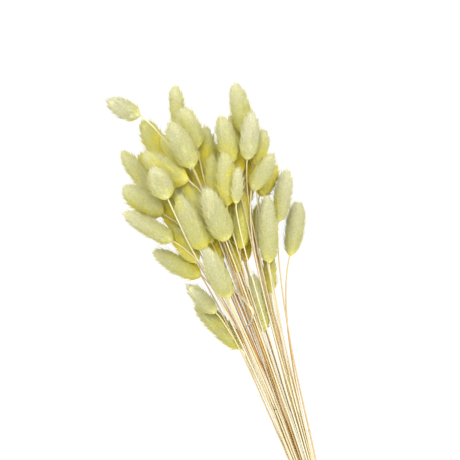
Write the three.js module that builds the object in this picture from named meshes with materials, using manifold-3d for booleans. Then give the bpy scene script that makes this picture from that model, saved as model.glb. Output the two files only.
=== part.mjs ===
import * as THREE from 'three';
import { mergeVertices } from 'three/addons/utils/BufferGeometryUtils.js';
import Module from 'manifold-3d';

// A bunch of dried bunny tail grass, gathered by a tie of twine and laid on a table.
// Millimetres. +Z is up, +Y runs from the cut ends to the heads, and the origin is on the table under the tie.

const wasm = await Module();
wasm.setup();

// Driving dimensions

// The heads are placed by eye on a photograph of such a bunch, taken from straight above.
const MM_PER_PIXEL = 0.9; // a usual head is 45 mm long, and 50 pixels there
const TIE_PIXEL = [330, 550]; // where the stems run together, past the photograph's edge
const LEAN = THREE.MathUtils.degToRad(17); // how far the bunch leans to the left there

// Heads
const HEAD_SIDES = 10; // even, because tufts and hollows take turns round a ring
const HEAD_RINGS = 9;
const HOLLOW_SHARE = 0.84; // radius between the tufts, as a share of the radius at their ends
const TUFT_LEAN = 0.6; // how far a tuft leans to the tip, in ring spacings
const TUFT_UNEVEN = 0.1;
const FOOT_RADIUS = 1.1;
const HEAD_GAP = 0.7; // clear space between two heads
const TABLE_PRESS = 1; // how far the lowest tufts are pressed flat by the table
const NEAR_Y = 200;
const FAR_Y = 430;
const NEAR_RISE = 8; // height of one level of the pile at NEAR_Y
const FAR_RISE = 13;

// Stems
const LOW_RADIUS = 0.9; // at the cut end
const HIGH_RADIUS = 0.62; // at the head
const STEM_SIDES = 5;
const STEM_GAP = 0.45; // clear space round a stem
const BUTT_GAP = 0.3; // between a stem's end and its head
const CUT_END = -62;
const CUT_UNEVEN = 9;
const CUT_SPLAY = 1.6; // how far the cut ends stand apart sideways, against the tie
const CUT_RISE = 1.2; // and up and down
const BEND_LENGTH = 32; // the stretch below a head in which its stem bends towards it
const FOLLOWS = 0.35; // how far it has turned into line when it reaches the head, which nods by the rest
const NECK = 3; // the nod, in line with the head
const FIRST_STRETCH = 9;
const STRETCH_GROWTH = 1.52; // each stretch further down is longer by this share
const LAST_STRETCH = 50; // the least distance from the tie to the first ring above it
const LEAVING = 0.15; // slope at the tie, as a share of that of the straight line to the head
const ARRIVING = 1.8; // and below the bend
const SWELL = 0.8; // how far the bunch swells sideways above the tie, as a share of its width there
const SWELL_LENGTH = 40;

// Tie
const ROWS = [7, 9, 10, 10, 9, 7]; // stems in each row under the tie, from the lowest row
const SLOT_PITCH = 1.42; // less than a stem's width, so that the stems of a row are joined there
const ROW_PITCH = 2 * LOW_RADIUS + 0.35;
const TWINE = 1.8;
const TURNS = 3;
const TURN_GROOVE = 0.5; // depth of the grooves between turns
const TIE_HALF = (TURNS * TWINE) / 2;
const TIE_INNER = 7.9;
const TIE_OUTER = TIE_INNER + TWINE;
const TIE_SEGMENTS = 16;
const TIE_FLAT = 1.1; // how much of the tie's roundness its flat underside takes away
const TIE_HEIGHT = TIE_OUTER - TIE_FLAT; // middle of the tie
const CLAMPED = TIE_HALF + 3; // the stems run straight this far from the middle of the tie
const KNOT_ANGLE = THREE.MathUtils.degToRad(52); // from level, on the right
const KNOT = [3.0, 2.4, 2.0]; // half sizes round the tie, along the bunch and outwards
const END_RADIUS = 0.7; // the twine's two cut ends, which leave the knot through these points
const END_SIDES = 6;
const END_ROUTES = [
  [[11, 3.5, 15.5], [14, 10, 12.5], [15.5, 18, 8.5]],
  [[10.5, -4, 16], [14.5, -9, 14], [19, -13, 9.5]],
];

// Settling
const SETTLING_STEPS = 500;
const FIRM_STEPS = 150; // the last steps, in which stems no longer spring back
const SPRING_BACK = 0.02;
const STIFFNESS = 0.2;
const LEAST_HOLD = 0.04; // a point closer than this to a fixed ring, in squared shares of a stretch, stays put
const OVER_OR_UNDER = 0.6; // how strongly a stem is turned over a lower head, or under a higher one
const STEM_SHARE = 0.5; // of the distance by which they are too close, in one step
const HEAD_SHARE = 0.1;

// Each head: its tip and foot in the photograph's pixels, its width over the tuft ends, the level of the pile
// that it lies in, and belly, the place of its widest part from foot (0) to tip (1). Some heads have a bow, the
// sideways bulge of their middle. Follows is as FOLLOWS above, where a head has its own.
const HEADS = [
  { tip: [108, 100], foot: [140, 116], wide: 16, level: 2.6, belly: 0.36, bow: 1 },
  { tip: [143, 121], foot: [163, 158], wide: 18, level: 0.7, belly: 0.45 },
  { tip: [122, 151], foot: [151, 192], wide: 13.5, level: 0.8, belly: 0.45 },
  { tip: [140, 154], foot: [163, 191], wide: 14.5, level: 0, belly: 0.45 },
  { tip: [153, 168], foot: [168, 199], wide: 19, level: 4.4, belly: 0.38 },
  { tip: [124, 187], foot: [163, 214], wide: 21, level: 2.4, belly: 0.4, bow: 1, follows: 0.8 },
  { tip: [145, 153], foot: [188, 181], wide: 19, level: 3.6, belly: 0.36, bow: 3.5 },
  { tip: [124, 213], foot: [173, 241], wide: 15.5, level: 2.6, belly: 0.28, follows: 0.9 },
  { tip: [154, 251], foot: [201, 276], wide: 16, level: 1.2, belly: 0.34, bow: 1 },
  { tip: [188, 286], foot: [216, 313], wide: 13.5, level: 2.6, belly: 0.4 },
  { tip: [196, 303], foot: [242, 349], wide: 17, level: 0, belly: 0.45 },
  { tip: [175, 86], foot: [179, 133], wide: 12, level: 1.6, belly: 0.6 },
  { tip: [183, 108], foot: [197, 149], wide: 18, level: 3.0, belly: 0.42 },
  { tip: [170, 123], foot: [193, 168], wide: 19, level: 4.2, belly: 0.4 },
  { tip: [162, 136], foot: [184, 172], wide: 14.5, level: 0.8, belly: 0.45 },
  { tip: [205, 127], foot: [208, 174], wide: 15.5, level: 1.2, belly: 0.42 },
  { tip: [217, 143], foot: [215, 187], wide: 12.5, level: 0.3, belly: 0.45 },
  { tip: [221, 117], foot: [232, 163], wide: 16, level: 2.2, belly: 0.42 },
  { tip: [235, 84], foot: [247, 136], wide: 17, level: 2.4, belly: 0.36 },
  { tip: [252, 113], foot: [247, 160], wide: 15.5, level: 4.0, belly: 0.4 },
  { tip: [231, 116], foot: [240, 158], wide: 13.5, level: 0.6, belly: 0.45 },
  { tip: [264, 130], foot: [256, 167], wide: 13.5, level: 2.6, belly: 0.45 },
  { tip: [273, 155], foot: [252, 190], wide: 14.5, level: 4.0, belly: 0.42 },
  { tip: [276, 166], foot: [260, 196], wide: 14.5, level: 1.4, belly: 0.4 },
  { tip: [287, 170], foot: [278, 222], wide: 14.5, level: 2.0, belly: 0.45 },
  { tip: [298, 202], foot: [290, 256], wide: 15.5, level: 0, belly: 0.62, bow: -1, follows: 0.9 },
  { tip: [267, 196], foot: [269, 263], wide: 15.5, level: 3.0, belly: 0.35 },
  { tip: [269, 252], foot: [271, 293], wide: 10.5, level: 1.0, belly: 0.45 },
  { tip: [259, 204], foot: [263, 250], wide: 13.5, level: 0.4, belly: 0.45 },
  { tip: [225, 153], foot: [227, 206], wide: 16, level: 3.2, belly: 0.42 },
  { tip: [212, 155], foot: [213, 200], wide: 13.5, level: 2.0, belly: 0.42 },
  { tip: [206, 189], foot: [226, 241], wide: 21, level: 4.8, belly: 0.34 },
  { tip: [178, 196], foot: [204, 250], wide: 19, level: 4.0, belly: 0.34 },
  { tip: [184, 184], foot: [212, 243], wide: 17, level: 1.8, belly: 0.42 },
  { tip: [195, 164], foot: [209, 211], wide: 15.5, level: 0.8, belly: 0.42 },
  { tip: [238, 169], foot: [236, 204], wide: 9.5, level: 4.2, belly: 0.42 },
  { tip: [243, 192], foot: [240, 249], wide: 14.5, level: 2.0, belly: 0.35 },
  { tip: [235, 202], foot: [246, 262], wide: 13.5, level: 0, belly: 0.35 },
  { tip: [206, 249], foot: [229, 298], wide: 17, level: 4.6, belly: 0.4 },
  { tip: [206, 220], foot: [220, 264], wide: 14.5, level: 1.0, belly: 0.42 },
  { tip: [226, 232], foot: [238, 273], wide: 12.5, level: 0.8, belly: 0.42 },
  { tip: [253, 275], foot: [264, 332], wide: 14.5, level: 1.6, belly: 0.36 },
  { tip: [170, 226], foot: [198, 262], wide: 15.5, level: 1.2, belly: 0.4 },
  { tip: [160, 194], foot: [183, 238], wide: 15.5, level: 0.2, belly: 0.42 },
  { tip: [236, 138], foot: [239, 176], wide: 12.5, level: 1.6, belly: 0.4 },
  { tip: [197, 127], foot: [206, 172], wide: 13.5, level: 0, belly: 0.42 },
  { tip: [176, 158], foot: [196, 204], wide: 14.5, level: 0, belly: 0.42 },
  { tip: [251, 138], foot: [250, 184], wide: 13.5, level: 0.3, belly: 0.42 },
  { tip: [229, 186], foot: [233, 236], wide: 14.5, level: 0.5, belly: 0.42 },
  { tip: [168, 178], foot: [190, 224], wide: 14.5, level: 0.1, belly: 0.42 },
  { tip: [222, 162], foot: [224, 210], wide: 13.5, level: 0.1, belly: 0.42 },
  { tip: [243, 158], foot: [247, 206], wide: 13.5, level: 0.1, belly: 0.42 },
];

const straw = new THREE.MeshStandardMaterial({ color: 0xe3cf94, roughness: 0.75, metalness: 0 });
const twine = new THREE.MeshStandardMaterial({ color: 0xb89a6a, roughness: 0.95, metalness: 0 });
const green = new THREE.MeshStandardMaterial({ color: 0xd0cf8a, roughness: 0.95, metalness: 0 });

// A seeded draw from 0 to 1, the same on each run.
function makeRandom(seed) {
  let state = seed;
  return () => {
    state = (Math.imul(state, 1664525) + 1013904223) >>> 0;
    return state / 2 ** 32;
  };
}

// Solids

function solidOf(geometry) {
  geometry.deleteAttribute('normal');
  geometry.deleteAttribute('uv');
  const merged = mergeVertices(geometry, 1e-4);
  return new wasm.Manifold(new wasm.Mesh({
    numProp: 3,
    vertProperties: merged.attributes.position.array,
    triVerts: new Uint32Array(merged.index.array),
  }));
}

function joined(geometries) {
  const solids = geometries.map(solidOf);
  const mesh = solids.reduce((whole, piece) => whole.add(piece)).getMesh();
  const geometry = new THREE.BufferGeometry();
  geometry.setAttribute('position', new THREE.BufferAttribute(mesh.vertProperties, 3));
  geometry.setIndex(new THREE.BufferAttribute(mesh.triVerts, 1));
  return geometry;
}

// A closed skin over rings of points that follow each other ahead, each anticlockwise as seen from behind.
// A last ring of one point is a pole, and an end ring of more is closed by a flat fan.
function skin(rings) {
  const positions = [];
  const starts = [];
  for (const ring of rings) {
    starts.push(positions.length / 3);
    for (const point of ring) positions.push(point.x, point.y, point.z);
  }
  const faces = [];
  for (let j = 0; j + 1 < rings.length; j += 1) {
    const low = rings[j].length;
    const high = rings[j + 1].length;
    for (let i = 0; i < low; i += 1) {
      const a = starts[j] + i;
      const b = starts[j] + ((i + 1) % low);
      const c = starts[j + 1] + ((i + 1) % high);
      const d = starts[j + 1] + (i % high);
      if (high === 1) faces.push(a, d, b);
      else if ((i + j) % 2 === 0) faces.push(a, d, b, b, d, c);
      else faces.push(a, c, b, a, d, c);
    }
  }
  const last = rings.length - 1;
  for (let i = 1; i + 1 < rings[0].length; i += 1) faces.push(starts[0], starts[0] + i, starts[0] + i + 1);
  for (let i = 1; i + 1 < rings[last].length; i += 1) {
    faces.push(starts[last], starts[last] + i + 1, starts[last] + i);
  }
  const geometry = new THREE.BufferGeometry();
  geometry.setAttribute('position', new THREE.Float32BufferAttribute(positions, 3));
  geometry.setIndex(faces);
  return geometry;
}

// Heads

// A place in the photograph as x and y on the table.
function place([u, v]) {
  const du = (u - TIE_PIXEL[0]) * MM_PER_PIXEL;
  const dv = (v - TIE_PIXEL[1]) * MM_PER_PIXEL;
  return new THREE.Vector2(du * Math.cos(LEAN) - dv * Math.sin(LEAN), -du * Math.sin(LEAN) - dv * Math.cos(LEAN));
}

// A head's radius as a share of its greatest: a full, rounded base, and a longer, rounded tip.
function outline(t, belly) {
  const fromBelly = t < belly ? (belly - t) / belly : (t - belly) / (1 - belly);
  return Math.sqrt(1 - fromBelly ** (t < belly ? 3 : 2.6));
}

class Head {
  constructor({ tip, foot, wide, level, belly, bow = 0, follows = FOLLOWS }) {
    this.foot = place(foot);
    this.along = place(tip).sub(this.foot);
    this.length = this.along.length();
    this.radius = wide / 2;
    this.level = level;
    this.belly = belly;
    this.bow = bow;
    this.follows = follows;
    this.floor = this.radius - TABLE_PRESS;
    const middleY = this.foot.y + this.along.y / 2;
    const rise = THREE.MathUtils.mapLinear(middleY, NEAR_Y, FAR_Y, NEAR_RISE, FAR_RISE);
    this.height = this.floor + level * rise;
    this.climb = (level * rise) / middleY; // the pile opens like a cone, so higher heads point up more
    this.beads = [0.1, 0.22, 0.34, 0.46, 0.58, 0.7, 0.82, 0.94].map((t) => ({
      t,
      radius: this.radius * outline(t, belly),
    }));
  }

  // The axis, from foot (0) to tip (1).
  at(t) {
    const aside = (this.bow * 4 * t * (1 - t)) / this.length;
    return new THREE.Vector3(
      this.foot.x + this.along.x * t - this.along.y * aside,
      this.foot.y + this.along.y * t + this.along.x * aside,
      this.height + this.climb * this.length * (t - this.belly),
    );
  }

  direction(t) {
    return this.at(t + 0.02).sub(this.at(t - 0.02)).normalize();
  }

  // Rings whose points are tufts and hollows in turn, with the tufts leaning to the tip.
  geometry(random) {
    const turn = this.level > 0 ? random() * Math.PI : 0;
    const rings = [];
    for (let j = 0; j <= HEAD_RINGS; j += 1) {
      const ring = [];
      for (let i = 0; i < HEAD_SIDES; i += 1) {
        const isTuft = j > 0 && (i + j) % 2 === 0;
        const t = (j + (isTuft ? TUFT_LEAN : 0)) / (HEAD_RINGS + 1);
        const uneven = 1 - TUFT_UNEVEN * random();
        const full = this.radius * outline(t, this.belly) * (isTuft ? uneven : HOLLOW_SHARE);
        const radius = Math.max(full, FOOT_RADIUS);
        const angle = turn + (i / HEAD_SIDES) * 2 * Math.PI - Math.PI / 2;
        const ahead = this.direction(t);
        const side = new THREE.Vector3(ahead.y, -ahead.x, 0).normalize();
        const up = side.clone().cross(ahead);
        const point = this.at(t)
          .addScaledVector(side, radius * Math.cos(angle))
          .addScaledVector(up, radius * Math.sin(angle));
        point.z = Math.max(point.z, 0);
        ring.push(point);
      }
      rings.push(ring);
    }
    rings.push([this.at(1)]);
    return skin(rings);
  }
}

// Stems

// One measure of a stem, sideways or up, at the distance y. The stem leaves the tie at a share of the slope of its
// straight line, steepens slowly, and turns into line with its head in a bend that fades towards the tie.
function sweep(y, start, end) {
  const span = end.y - start.y;
  const chord = (end.value - start.value - BEND_LENGTH * end.slope) / (span - ARRIVING * BEND_LENGTH);
  const turn = end.slope - ARRIVING * chord;
  const u = (y - start.y) / span;
  const eased = LEAVING * u + (3 - 2 * LEAVING - ARRIVING) * u ** 2 + (LEAVING + ARRIVING - 2) * u ** 3;
  return start.value + chord * span * eased + turn * BEND_LENGTH * Math.exp((y - end.y) / BEND_LENGTH);
}

class Stem {
  constructor(head, slotX, row, random) {
    this.head = head;
    this.row = row;
    const slotZ = TIE_HEIGHT + (row - (ROWS.length - 1) / 2) * ROW_PITCH;
    const cutY = CUT_END + CUT_UNEVEN * (2 * random() - 1);
    const cutZ = TIE_HEIGHT + (slotZ - TIE_HEIGHT) * CUT_RISE;
    this.start = new THREE.Vector3(slotX, CLAMPED, slotZ);
    this.points = [
      new THREE.Vector3(slotX * CUT_SPLAY, cutY, cutZ),
      new THREE.Vector3(slotX, -CLAMPED, slotZ),
      this.start,
    ];
    this.pinned = this.points.length;
    const stations = [];
    let stretch = FIRST_STRETCH;
    for (let y = this.neck().y - stretch; y > this.start.y + LAST_STRETCH; y -= stretch) {
      stations.unshift(y);
      stretch *= STRETCH_GROWTH;
    }
    for (const y of stations) this.points.push(this.rest(y));
    this.points.push(this.neck(), this.end());
    this.free = this.points.length - 2;
  }

  end() {
    return this.head.at(0).addScaledVector(this.head.direction(0), -BUTT_GAP);
  }

  neck() {
    return this.head.at(0).addScaledVector(this.head.direction(0), -NECK);
  }

  // The stem's own line, which it takes where nothing is in its way.
  rest(y) {
    const end = this.neck();
    const ahead = this.head.direction(0);
    const measure = (axis) => {
      const chord = (end[axis] - this.start[axis]) / (end.y - this.start.y);
      const slope = THREE.MathUtils.lerp(ARRIVING * chord, ahead[axis] / ahead.y, this.head.follows);
      return sweep(y, { y: this.start.y, value: this.start[axis] }, { y: end.y, value: end[axis], slope });
    };
    const toHead = (end.y - y) / (end.y - this.start.y);
    const swell = SWELL * (1 - Math.exp((this.start.y - y) / SWELL_LENGTH)) * toHead ** 2;
    return new THREE.Vector3(measure('x') + swell * this.start.x, y, measure('z'));
  }

  // The stem narrows steadily from its cut end to its head.
  radiusAt(k) {
    const low = this.points[0].y;
    const high = this.points[this.points.length - 1].y;
    return THREE.MathUtils.mapLinear(this.points[k].y, low, high, LOW_RADIUS, HIGH_RADIUS);
  }

  geometry() {
    const { points } = this;
    const last = points.length - 1;
    return skin(points.map((point, k) => {
      const ahead = points[Math.min(k + 1, last)].clone().sub(points[Math.max(k - 1, 0)]).normalize();
      const side = new THREE.Vector3(ahead.y, -ahead.x, 0).normalize();
      const up = side.clone().cross(ahead);
      const ring = [];
      for (let i = 0; i < STEM_SIDES; i += 1) {
        const angle = (i / STEM_SIDES) * 2 * Math.PI;
        ring.push(point.clone()
          .addScaledVector(side, this.radiusAt(k) * Math.cos(angle))
          .addScaledVector(up, this.radiusAt(k) * Math.sin(angle)));
      }
      return ring;
    }));
  }
}

// Settling: heads and stems that meet are moved apart

// Two heads part in height alone, so that each keeps its place as seen from above.
function partHeads(low, high) {
  let lift = 0;
  for (const a of low.beads) {
    const p = low.at(a.t);
    for (const b of high.beads) {
      const q = high.at(b.t);
      const reach = a.radius + b.radius + HEAD_GAP;
      const across = (p.x - q.x) ** 2 + (p.y - q.y) ** 2;
      if (across < reach * reach) lift = Math.max(lift, Math.sqrt(reach * reach - across) - (q.z - p.z));
    }
  }
  const down = Math.min(lift / 2, low.height - low.floor);
  low.height -= down;
  high.height += lift - down;
}

function raise(head, lift) {
  head.height = Math.max(head.floor, head.height + lift);
}

// The share of the way along a to b, and along c to d, at which the two stretches are closest.
function nearest(a, b, c, d) {
  const ab = b.clone().sub(a);
  const cd = d.clone().sub(c);
  const ca = a.clone().sub(c);
  const abab = ab.dot(ab);
  const cdcd = cd.dot(cd);
  const abcd = ab.dot(cd);
  const slant = abab * cdcd - abcd * abcd;
  const { clamp } = THREE.MathUtils;
  let s = slant > 1e-9 ? clamp((abcd * cd.dot(ca) - cdcd * ab.dot(ca)) / slant, 0, 1) : 0.5;
  const t = clamp((abcd * s + cd.dot(ca)) / cdcd, 0, 1);
  s = clamp((abcd * t - ab.dot(ca)) / abab, 0, 1);
  return [s, t];
}

// Moves the point at share s of a stem's stretch k, and with it the rings at both ends that are free to move.
function shift(stem, k, s, move) {
  const canLow = k >= stem.pinned && k < stem.free;
  const canHigh = k + 1 >= stem.pinned && k + 1 < stem.free;
  const low = canLow ? 1 - s : 0;
  const high = canHigh ? s : 0;
  const total = low * low + high * high;
  if (total < LEAST_HOLD) return false;
  stem.points[k].addScaledVector(move, low / total);
  stem.points[k + 1].addScaledVector(move, high / total);
  return true;
}

function partStemAndHead(stem, head) {
  for (let k = stem.pinned - 1; k + 1 < stem.points.length; k += 1) {
    const line = new THREE.Line3(stem.points[k], stem.points[k + 1]);
    for (const bead of head.beads) {
      const centre = head.at(bead.t);
      const reach = bead.radius + stem.radiusAt(k) + STEM_GAP;
      const s = line.closestPointToPointParameter(centre, true);
      const away = line.at(s, new THREE.Vector3()).sub(centre);
      const lack = reach - away.length();
      if (lack > 0) {
        away.normalize();
        away.z += stem.head.level >= head.level ? OVER_OR_UNDER : -OVER_OR_UNDER;
        away.setY(0).normalize();
        const moved = shift(stem, k, s, away.clone().multiplyScalar(STEM_SHARE * lack));
        raise(head, -(moved ? HEAD_SHARE : STEM_SHARE) * lack * Math.sign(away.z));
      }
    }
  }
}

function partStems(one, other) {
  for (let j = one.pinned - 1; j + 1 < one.points.length; j += 1) {
    for (let k = other.pinned - 1; k + 1 < other.points.length; k += 1) {
      const [a, b] = [one.points[j], one.points[j + 1]];
      const [c, d] = [other.points[k], other.points[k + 1]];
      const reach = one.radiusAt(j) + other.radiusAt(k) + STEM_GAP;
      if (a.y < d.y + reach && c.y < b.y + reach) {
        const [s, t] = nearest(a, b, c, d);
        const apart = new THREE.Vector3().lerpVectors(a, b, s).sub(new THREE.Vector3().lerpVectors(c, d, t));
        const lack = reach - apart.length();
        const fans = one.row === other.row && j < one.pinned;
        if (lack > 0 && !fans) {
          apart.setY(0).normalize();
          shift(one, j, s, apart.clone().multiplyScalar(lack / 2));
          shift(other, k, t, apart.clone().multiplyScalar(-lack / 2));
        }
      }
    }
  }
}

// A stem springs back to its own line, and spreads a bend along itself.
function relaxStem(stem, springs) {
  const { points, pinned, free } = stem;
  points[free].copy(stem.neck());
  points[free + 1].copy(stem.end());
  const offsets = points.map((point, k) => (
    k < pinned || k >= free ? new THREE.Vector3() : point.clone().sub(stem.rest(point.y))
  ));
  for (let k = pinned; k < free; k += 1) {
    if (springs) {
      const middle = offsets[k - 1].clone().add(offsets[k + 1]).multiplyScalar(0.5);
      points[k].addScaledVector(middle.sub(offsets[k]), STIFFNESS).addScaledVector(offsets[k], -SPRING_BACK);
    }
    points[k].z = Math.max(points[k].z, 2 * LOW_RADIUS);
  }
}

function settle(heads, stems) {
  for (let step = 0; step < SETTLING_STEPS; step += 1) {
    heads.forEach((low, i) => heads.slice(i + 1).forEach((high) => partHeads(low, high)));
    stems.forEach((one, i) => stems.slice(i + 1).forEach((other) => partStems(one, other)));
    for (const stem of stems) {
      for (const head of heads) if (head !== stem.head) partStemAndHead(stem, head);
      relaxStem(stem, step < SETTLING_STEPS - FIRM_STEPS);
    }
  }
}

// Tie

// A tube with closed ends on a smooth curve through the points.
function tube(points, radius, sides, steps) {
  const section = new THREE.Shape();
  section.absarc(0, 0, radius, 0, 2 * Math.PI);
  return new THREE.ExtrudeGeometry(section, {
    steps,
    curveSegments: sides / 2, // an arc is cut twice as fine
    extrudePath: new THREE.CatmullRomCurve3(points),
    bevelEnabled: false,
  });
}

// Turns of twine side by side, flat where they press on the table, with a knot and two short ends.
function makeTie() {
  const profile = [new THREE.Vector2(TIE_INNER, -TIE_HALF)];
  for (let turn = 0; turn <= TURNS; turn += 1) {
    const edge = (turn - TURNS / 2) * TWINE;
    profile.push(new THREE.Vector2(TIE_OUTER - TURN_GROOVE, edge));
    if (turn < TURNS) profile.push(new THREE.Vector2(TIE_OUTER, edge + TWINE / 2));
  }
  profile.push(new THREE.Vector2(TIE_INNER, TIE_HALF), profile[0].clone());
  const band = new THREE.LatheGeometry(profile, TIE_SEGMENTS);
  band.translate(0, 0, TIE_HEIGHT);
  const { position } = band.attributes;
  for (let i = 0; i < position.count; i += 1) position.setZ(i, Math.max(position.getZ(i), 0));

  const knotX = TIE_OUTER * Math.cos(KNOT_ANGLE);
  const knotZ = TIE_HEIGHT + TIE_OUTER * Math.sin(KNOT_ANGLE);
  const knot = new THREE.SphereGeometry(1, 8, 5);
  knot.scale(...KNOT);
  knot.rotateY(Math.PI / 2 - KNOT_ANGLE);
  knot.translate(knotX, 0, knotZ);
  const ends = END_ROUTES.map((route) => {
    const points = [[knotX, 0, knotZ], ...route].map((point) => new THREE.Vector3(...point));
    return tube(points, END_RADIUS, END_SIDES, 4);
  });
  return joined([band, knot, ...ends]);
}

// The whole bunch

// The lowest stems go to the lowest heads, and those of one row lie side by side in the order of their heads.
function makeStems(heads, random) {
  const byLevel = [...heads].sort((a, b) => a.level - b.level);
  return ROWS.flatMap((count, row) => {
    const inRow = byLevel.splice(0, count).sort((a, b) => a.foot.x / a.foot.y - b.foot.x / b.foot.y);
    return inRow.map((head, slot) => new Stem(head, (slot - (count - 1) / 2) * SLOT_PITCH, row, random));
  });
}

function named(name, geometry, material) {
  const mesh = new THREE.Mesh(geometry, material);
  mesh.name = name;
  return mesh;
}

function makeBunch() {
  const random = makeRandom(46);
  const heads = HEADS.map((spec) => new Head(spec)).sort((a, b) => a.level - b.level);
  const stems = makeStems(heads, random);
  settle(heads, stems);
  const bunch = new THREE.Group();
  heads.forEach((head, i) => {
    const name = `head_${String(i + 1).padStart(2, '0')}`;
    bunch.add(named(name, head.geometry(random), green));
  });
  ROWS.forEach((count, row) => {
    const inRow = stems.filter((stem) => stem.row === row).map((stem) => stem.geometry());
    bunch.add(named(`stems_row_${row + 1}`, joined(inRow), straw));
  });
  bunch.add(named('tie', makeTie(), twine));
  return bunch;
}

export default makeBunch();
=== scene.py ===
"""The looks of a bunch of dried bunny tail grass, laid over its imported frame.

Metres, in the frame's own axes: +Z is up, +Y runs from the cut ends to the heads, and the origin is on the
table under the tie. Every CAD node is replaced by a finer piece that keeps its form: straws for the rows of
stems, fluffy plumes for the heads and laid twine for the tie. One dead leaf among the stems is added.
"""

import logging
import math
import sys
from dataclasses import dataclass, field
from enum import Enum
from typing import ClassVar

import bpy
import numpy as np
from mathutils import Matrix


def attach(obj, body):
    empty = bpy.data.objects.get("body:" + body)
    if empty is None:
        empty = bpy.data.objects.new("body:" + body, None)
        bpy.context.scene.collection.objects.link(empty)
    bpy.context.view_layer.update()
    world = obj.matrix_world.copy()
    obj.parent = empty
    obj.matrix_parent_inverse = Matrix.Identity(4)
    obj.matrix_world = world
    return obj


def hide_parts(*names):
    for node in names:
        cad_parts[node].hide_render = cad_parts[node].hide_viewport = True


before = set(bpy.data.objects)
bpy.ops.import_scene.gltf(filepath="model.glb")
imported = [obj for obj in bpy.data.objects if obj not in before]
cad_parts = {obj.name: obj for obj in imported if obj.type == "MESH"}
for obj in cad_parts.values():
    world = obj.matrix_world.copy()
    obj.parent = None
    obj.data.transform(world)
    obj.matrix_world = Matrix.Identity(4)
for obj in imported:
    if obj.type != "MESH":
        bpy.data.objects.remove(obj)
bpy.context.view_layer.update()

logging.basicConfig(level=logging.INFO, format="%(message)s", stream=sys.stdout)
log = logging.getLogger("bunch")

MM = 0.001
GOLDEN_ANGLE = math.pi * (3 - math.sqrt(5))
WHOLE_TURN = 2 * math.pi
MERGED_WITHIN = 0.01 * MM

# Directions that nothing of that kind runs along, so that one across it can be found
NO_FIBRE = np.array([0.31, 0.23, 0.92])
NO_PLY = np.array([0.3, 0.2, 0.9])
NO_TWINE = np.array([0.05, 0.99, 0.1])


# Mesh arrays


@dataclass
class Skin:
    """Points and triangles of closed surfaces, with a named value on each point for the materials to read.

    A point's facing is the direction in which it takes the light, or zero where the surface itself gives it.
    """

    points: np.ndarray
    triangles: np.ndarray
    values: dict[str, np.ndarray] = field(default_factory=dict)
    facing: np.ndarray | None = None

    def with_value(self, name: str, value: float | np.ndarray) -> "Skin":
        """Sets a named value, one for all points or one for each.

        Args:
            name: the value's name.
            value: one number for all points, or one for each.

        Returns:
            The same skin.
        """
        self.values[name] = np.broadcast_to(value, len(self.points)).astype(np.float32)
        return self

    def dressed(self, tone: float) -> "Skin":
        """Sets the values of dry leaf: a tone, and no joint and no green."""
        return self.with_value("tone", tone).with_value("joint", 0.0).with_value("green", 0.0)

    def facing_out(self) -> "Skin":
        """Turns every triangle round if they close a negative volume, so that they face outwards."""
        a, b, c = (self.points[self.triangles[:, i]] for i in range(3))
        if np.einsum("ij,ij->", a, np.cross(b, c)) < 0:
            self.triangles = self.triangles[:, ::-1]
        return self

    @staticmethod
    def together(skins: list["Skin"]) -> "Skin":
        """Joins skins into one, numbering their points one after the other.

        Args:
            skins: the skins to join.

        Returns:
            One skin, with a value that a skin lacks as zero on its points.
        """
        starts = np.cumsum([0] + [len(skin.points) for skin in skins[:-1]])
        names = sorted(set().union(*(skin.values for skin in skins)))
        facings = [np.zeros_like(skin.points) if skin.facing is None else skin.facing for skin in skins]
        return Skin(
            np.concatenate([skin.points for skin in skins]),
            np.concatenate([skin.triangles + start for skin, start in zip(skins, starts)]),
            {
                name: np.concatenate([
                    skin.values.get(name, np.zeros(len(skin.points), np.float32)) for skin in skins
                ])
                for name in names
            },
            np.concatenate(facings),
        )


def unit(vectors: np.ndarray) -> np.ndarray:
    """Each vector divided by its length."""
    return vectors / np.maximum(np.linalg.norm(vectors, axis=-1, keepdims=True), 1e-12)


def sides_of(ahead: np.ndarray) -> tuple[np.ndarray, np.ndarray]:
    """Two directions across each direction ahead.

    Args:
        ahead: unit vectors, none of them upright.

    Returns:
        The level one to the right, and the one that is upwards and square to both.
    """
    side = unit(np.stack([ahead[..., 1], -ahead[..., 0], np.zeros(ahead.shape[:-1])], axis=-1))
    return side, np.cross(side, ahead)


def tube(path: np.ndarray, radii: np.ndarray, sides: int, turn: float = 0.0) -> Skin:
    """A round tube with closed ends: at each point of the path a ring of cos and sin of even angles.

    Args:
        path: points along the middle, at least three.
        radii: the tube's radius at each point.
        sides: points in a ring.
        turn: angle of each ring's first point.

    Returns:
        The tube, with "along" from 0 at its start to 1 at its end.
    """
    side, up = sides_of(unit(np.gradient(path, axis=0)))
    return round_skin(path, radii, side, up, turn + np.arange(sides) / sides * WHOLE_TURN)


def round_skin(
    path: np.ndarray, radii: np.ndarray, side: np.ndarray, up: np.ndarray, angles: np.ndarray
) -> Skin:
    """A round skin: at each point of a path, the radius times cos of each angle sideways and sin of it up.

    Args:
        path: points along the middle.
        radii: the radius at each point.
        side: the direction sideways at each point.
        up: the one upwards.
        angles: the angles of a ring's points.

    Returns:
        The closed skin.
    """
    across = (
        np.cos(angles)[None, :, None] * side[:, None] + np.sin(angles)[None, :, None] * up[:, None]
    )
    return closed_rings(path[:, None] + radii[:, None, None] * across, path[0], path[-1])


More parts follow.
